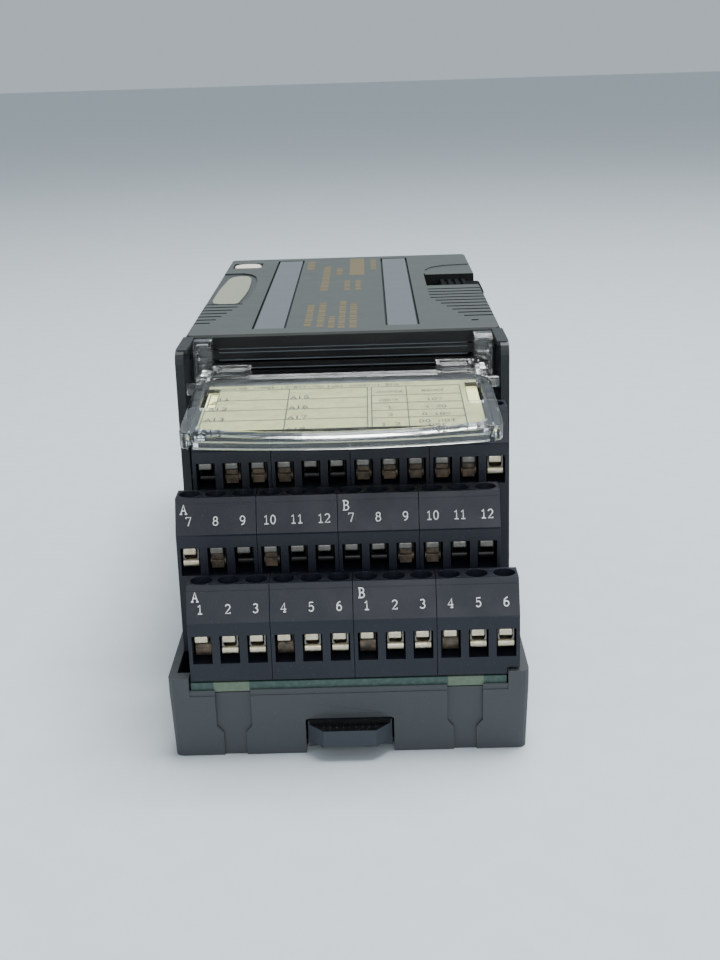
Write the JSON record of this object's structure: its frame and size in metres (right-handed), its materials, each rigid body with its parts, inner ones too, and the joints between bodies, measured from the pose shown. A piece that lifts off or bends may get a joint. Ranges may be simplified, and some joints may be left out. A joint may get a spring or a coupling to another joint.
{
  "type": "plc module",
  "caption": "Plug-in analogue input module on a terminal carrier with stepped box-clamp rows, a hinged clear card holder and a rail latch.",
  "frame": {"origin": "middle of the rail seat, where the top of a 35 mm top-hat rail meets the carrier", "axes": "+Z away from the rail, towards the module's cover; -Y towards the terminals; +X to the right seen from the terminals"},
  "size_m": [0.0677, 0.1665, 0.0697],
  "materials": {
    "base_grey": "fine texture, warm grey",
    "frame_grey": "fine texture, dark grey",
    "terminal_slate": "fine texture, slate",
    "board_green": "satin solder mask",
    "nickel": "bright plated, warm",
    "steel": "plain",
    "black_plastic": "fine texture, near black",
    "cover_grey": "fine texture, mid grey",
    "cream": "smooth",
    "lens": "milky",
    "clear_plastic": "clear, slightly scratched",
    "card": "printed card",
    "dial_white": "smooth"
  },
  "bodies": {
    "carrier": {"carrier_base": "base_grey", "carrier_deck": "base_grey", "left_ear": "frame_grey", "right_ear": "frame_grey", "terminal_board": "board_green", "board_screw_left": "steel", "board_screw_right": "steel", "terminal_block_1_1": "terminal_slate", "terminal_block_1_2": "terminal_slate", "terminal_block_1_3": "terminal_slate", "terminal_block_1_4": "terminal_slate", "terminal_block_2_1": "terminal_slate", "terminal_block_2_2": "terminal_slate", "terminal_block_2_3": "terminal_slate", "terminal_block_2_4": "terminal_slate", "terminal_block_3_1": "terminal_slate", "terminal_block_3_2": "terminal_slate", "terminal_block_3_3": "terminal_slate", "terminal_block_3_4": "terminal_slate", "clamp_set_1_1": "nickel", "clamp_set_1_2": "nickel", "clamp_set_1_3": "nickel", "clamp_set_1_4": "nickel", "clamp_set_2_1": "nickel", "clamp_set_2_2": "nickel", "clamp_set_2_3": "nickel", "clamp_set_2_4": "nickel", "clamp_set_3_1": "nickel", "clamp_set_3_2": "nickel", "clamp_set_3_3": "nickel", "clamp_set_3_4": "nickel", "latch_spring": "steel", "rail_clip": "steel", "carrier_socket": "black_plastic", "left_link_port": "black_plastic", "right_link_port": "black_plastic"},
    "rail_latch": {"rail_latch": "terminal_slate"},
    "left_dial": {"keying_dial_left": "dial_white"},
    "right_dial": {"keying_dial_right": "dial_white"},
    "module": {"module_housing": "black_plastic", "module_cover": "cover_grey", "module_board": "board_green", "module_plug": "black_plastic", "isolation_converter": "black_plastic", "processor_chip": "black_plastic", "filter_capacitor": "terminal_slate", "badge_insert": "cream", "indicator_lens": "lens"},
    "release_lever": {"release_lever": "black_plastic"},
    "card_holder": {"card_holder": "clear_plastic", "wiring_card": "card"}
  },
  "joints": [
    {"name": "card_holder_swing", "type": "hinge", "parent": "carrier", "child": "card_holder", "pos_m": [0, -0.045, 0.0594], "axis": [-1, 0, 0], "range_deg": [0, 90]},
    {"name": "module_lift", "type": "slide", "parent": "carrier", "child": "module", "axis": [0, 0, 1], "range_m": [0, 0.045]},
    {"name": "release_lever_slide", "type": "slide", "parent": "module", "child": "release_lever", "axis": [-1, 0, 0], "range_m": [0, 0.003], "stiffness_N_per_m": 400},
    {"name": "rail_latch_slide", "type": "slide", "parent": "carrier", "child": "rail_latch", "axis": [0, -1, 0], "range_m": [0, 0.004], "stiffness_N_per_m": 800, "deforming": ["latch_spring"]},
    {"name": "keying_dial_left_turn", "type": "hinge", "parent": "carrier", "child": "left_dial", "pos_m": [-0.018, -0.019, 0.0092], "axis": [0, 0, 1], "range_deg": [0, 315]},
    {"name": "keying_dial_right_turn", "type": "hinge", "parent": "carrier", "child": "right_dial", "pos_m": [0.018, -0.019, 0.0092], "axis": [0, 0, 1], "range_deg": [0, 315]}
  ]
}
